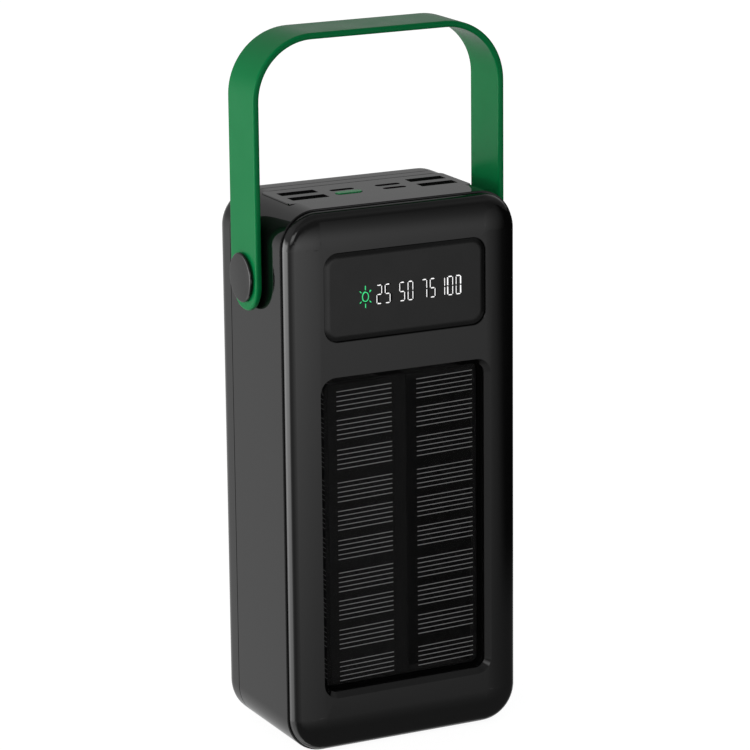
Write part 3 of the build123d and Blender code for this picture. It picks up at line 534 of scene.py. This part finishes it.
# Radii: the screw's bore, the hub, the axle, the neck, and the disc with its small chamfer.
CAP_BORE_R = 1.25
CAP_HUB_R = 3.5
CAP_AXLE_R = 4.5
CAP_NECK_R = 6.6
CAP_DISC_R = 7.7
CAP_CHAMFER = 0.1
# Distances from the middle of the body, from the hub's inner end out to the disc's face.
CAP_HUB_X = 35.2
CAP_AXLE_X = 40.0
CAP_BORE_X = 41.5
CAP_NECK_X = 43.01
CAP_DISC_X = 43.5
CAP_FACE_X = 44.3


def cap_section():
    """Half the cap's section, as (distance from the middle of the body, radius), bore first."""
    inside = [(CAP_BORE_X, 0.0), (CAP_BORE_X, CAP_BORE_R), (CAP_HUB_X, CAP_BORE_R), (CAP_HUB_X, CAP_HUB_R),
              (CAP_AXLE_X, CAP_HUB_R), (CAP_AXLE_X, CAP_AXLE_R), (CAP_NECK_X, CAP_AXLE_R),
              (CAP_NECK_X, CAP_NECK_R), (CAP_DISC_X, CAP_NECK_R), (CAP_DISC_X, CAP_DISC_R - CAP_CHAMFER),
              (CAP_DISC_X + CAP_CHAMFER, CAP_DISC_R)]
    turns = [math.radians(a) for a in range(0, 91, CAP_ROUND_STEP)]
    middle = (CAP_FACE_X - CAP_ROUND, CAP_DISC_R - CAP_ROUND)
    rim = [(middle[0] + CAP_ROUND * math.sin(t), middle[1] + CAP_ROUND * math.cos(t)) for t in turns]
    return inside + rim + [(CAP_FACE_X, 0.0)]


def make_caps(smooth):
    """The caps again, with the soft rounded rim that catches the light."""
    for side, word in ((-1, "left"), (1, "right")):
        mesh_data = bmesh.new()
        rings = []
        for out, radius in cap_section():
            if radius == 0:
                tip = mesh_data.verts.new((side * out * MM, CAP_AT[0] * MM, CAP_AT[1] * MM))
                rings.append([tip] * CAP_STEPS)
                continue
            ring = []
            for i in range(CAP_STEPS):
                turn = 2 * math.pi * i / CAP_STEPS
                y = CAP_AT[0] + radius * math.cos(turn)
                z = CAP_AT[1] + radius * math.sin(turn)
                ring.append(mesh_data.verts.new((side * out * MM, y * MM, z * MM)))
            rings.append(ring)
        for one, two in zip(rings, rings[1:]):
            for i in range(CAP_STEPS):
                j = (i + 1) % CAP_STEPS
                corners = list(dict.fromkeys((one[i], one[j], two[j], two[i])))
                mesh_data.faces.new(corners)
        piece = finish_piece(f"cap_{word}", mesh_data, "pivot")
        piece.modifiers.new("smooth", "NODES").node_group = smooth
        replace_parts(piece, f"pivot_cap_{word}")


# ---- lit numbers, drawn as six-sided bars --------------------------------------------------
LIT_Y = (-26.06, -25.4)
DIGIT_Z = (142.2, 148.2)
DIGIT_WIDTH = 1.9
DIGIT_STEP = 2.85
ONE_STEP = 1.14
DIGIT_STROKE = 0.25
UPRIGHT_STROKE = 0.19
SEGMENT_GAP = 0.1875
NUMBER_X = {"25": -9.55, "50": -1.7, "75": 5.95, "100": 13.8}
SEGMENTS = {"0": "abcdef", "1": "bc", "2": "abged", "5": "afgcd", "7": "abc"}
SUN_AT = (-13.3, 144.95)
SUN_OVAL = (1.15, 1.55)
SUN_LINE = 0.25
SUN_STEPS = 48
# Where the upright and the slanted rays begin and end, right and up from the sun's middle.
UPRIGHT_RAY = ((0.0, 2.1), (0.0, 3.5))
SLANTED_RAY = ((1.35, 1.3), (1.95, 1.95))


def bar(mesh_data, start, end, width=DIGIT_STROKE):
    """A bar with pointed ends between two (x, z) points."""
    along = Vector((end[0] - start[0], end[1] - start[1])).normalized()
    side = Vector((-along.y, along.x)) * width / 2
    first, last = Vector(start), Vector(end)
    near, far = first + along * width / 2, last - along * width / 2
    prism(mesh_data, [first, near + side, far + side, last, far - side, near - side], *LIT_Y)


def draw_digit(mesh_data, digit, x):
    low, high = DIGIT_Z[0] + DIGIT_STROKE / 2, DIGIT_Z[1] - DIGIT_STROKE / 2
    mid = (low + high) / 2
    left, right = x + DIGIT_STROKE / 2, x + DIGIT_WIDTH - DIGIT_STROKE / 2
    if digit == "1":
        right = left
    gap = SEGMENT_GAP
    ends = {
        "a": ((left + gap, high), (right - gap, high)), "g": ((left + gap, mid), (right - gap, mid)),
        "d": ((left + gap, low), (right - gap, low)), "b": ((right, high - gap), (right, mid + gap)),
        "c": ((right, mid - gap), (right, low + gap)), "f": ((left, high - gap), (left, mid + gap)),
        "e": ((left, mid - gap), (left, low + gap)),
    }
    for name in SEGMENTS[digit]:
        bar(mesh_data, *ends[name], DIGIT_STROKE if name in "agd" else UPRIGHT_STROKE)


def make_numbers():
    for number, x in NUMBER_X.items():
        mesh_data = bmesh.new()
        for digit in number:
            draw_digit(mesh_data, digit, x)
            x += ONE_STEP if digit == "1" else DIGIT_STEP
        piece = finish_piece(f"lit_{number}", mesh_data, "lit_white")
        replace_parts(piece, f"digits_{number}")


def make_sun():
    mesh_data = bmesh.new()
    centre = Vector(SUN_AT)
    rings = []
    for y in LIT_Y:
        for inset in (0, SUN_LINE):
            ring = []
            for i in range(SUN_STEPS):
                turn = 2 * math.pi * i / SUN_STEPS
                x = centre.x + (SUN_OVAL[0] - inset) * math.cos(turn)
                z = centre.y + (SUN_OVAL[1] - inset) * math.sin(turn)
                ring.append(mesh_data.verts.new((x * MM, y * MM, z * MM)))
            rings.append(ring)
    outer_front, inner_front, outer_back, inner_back = rings
    pairs = ((outer_front, inner_front), (inner_front, inner_back), (inner_back, outer_back),
             (outer_back, outer_front))
    for one, two in pairs:
        for i in range(SUN_STEPS):
            j = (i + 1) % SUN_STEPS
            mesh_data.faces.new((one[i], one[j], two[j], two[i]))
    for up in (-1, 1):
        for side, ray in ((0, UPRIGHT_RAY), (-1, SLANTED_RAY), (1, SLANTED_RAY)):
            start, end = (centre + Vector((side * x, up * z)) for x, z in ray)
            bar(mesh_data, start, end, SUN_LINE)
    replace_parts(finish_piece("lit_sun", mesh_data, "lit_green"), "sun_indicator")


make_camera()
make_world()
make_floor()
smooth = smooth_tree()
dress_nodes(smooth)
make_grid()
make_caps(smooth)
make_insert()
make_numbers()
make_sun()
